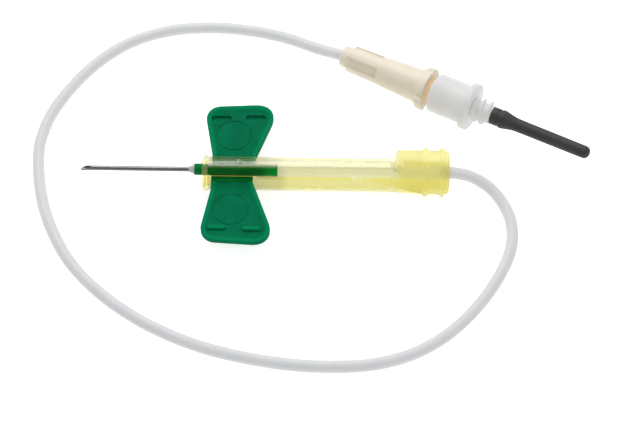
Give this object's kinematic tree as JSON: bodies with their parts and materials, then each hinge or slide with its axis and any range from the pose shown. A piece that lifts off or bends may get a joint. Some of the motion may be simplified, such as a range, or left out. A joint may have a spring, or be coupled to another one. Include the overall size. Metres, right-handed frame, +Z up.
{
  "type": "winged blood collection needle set",
  "caption": "Winged safety blood collection needle with sliding shield, tubing loop, conical connector and sleeved tube-side needle.",
  "frame": {"origin": "root of the free patient needle on its axis, where it leaves the adhesive cone", "axes": "-X along the patient needle towards its point, +Z up from the surface that the set lies on, +Y towards the far wing"},
  "size_m": [0.0974, 0.0716, 0.0086],
  "materials": {
    "steel": "ground and polished",
    "adhesive": "set, milky",
    "wing_green": "soft satin moulding",
    "shield_yellow": "translucent, smooth",
    "tube_clear": "soft, glossy, translucent",
    "cream": "satin moulding",
    "adapter_clear": "translucent, frosted",
    "sleeve_black": "dusty matt rubber"
  },
  "bodies": {
    "root": {"wing_hub": "wing_green", "needle_cannula": "steel", "adhesive_bead": "adhesive", "tubing": "tube_clear", "connector_hub": "cream"},
    "shield": {"safety_shield": "shield_yellow"},
    "near_wing": {"near_wing": "wing_green"},
    "far_wing": {"far_wing": "wing_green"},
    "adapter": {"tube_adapter": "adapter_clear", "tube_needle": "steel", "rubber_sleeve": "sleeve_black"}
  },
  "joints": [
    {"name": "shield_slide", "type": "slide", "parent": "root", "child": "shield", "axis": [-1, 0, 0], "range_m": [0, 0.0242]},
    {"name": "near_wing_fold", "type": "hinge", "parent": "root", "child": "near_wing", "pos_m": [0.008, -0.00385, -0.0006], "axis": [-1, 0, 0], "range_deg": [0, 90]},
    {"name": "far_wing_fold", "type": "hinge", "parent": "root", "child": "far_wing", "pos_m": [0.008, 0.00385, -0.0006], "axis": [1, 0, 0], "range_deg": [0, 90]},
    {"name": "adapter_pull", "type": "slide", "parent": "root", "child": "adapter", "axis": [0.8746, -0.4788, 0.0757], "range_m": [0, 0.009]}
  ]
}
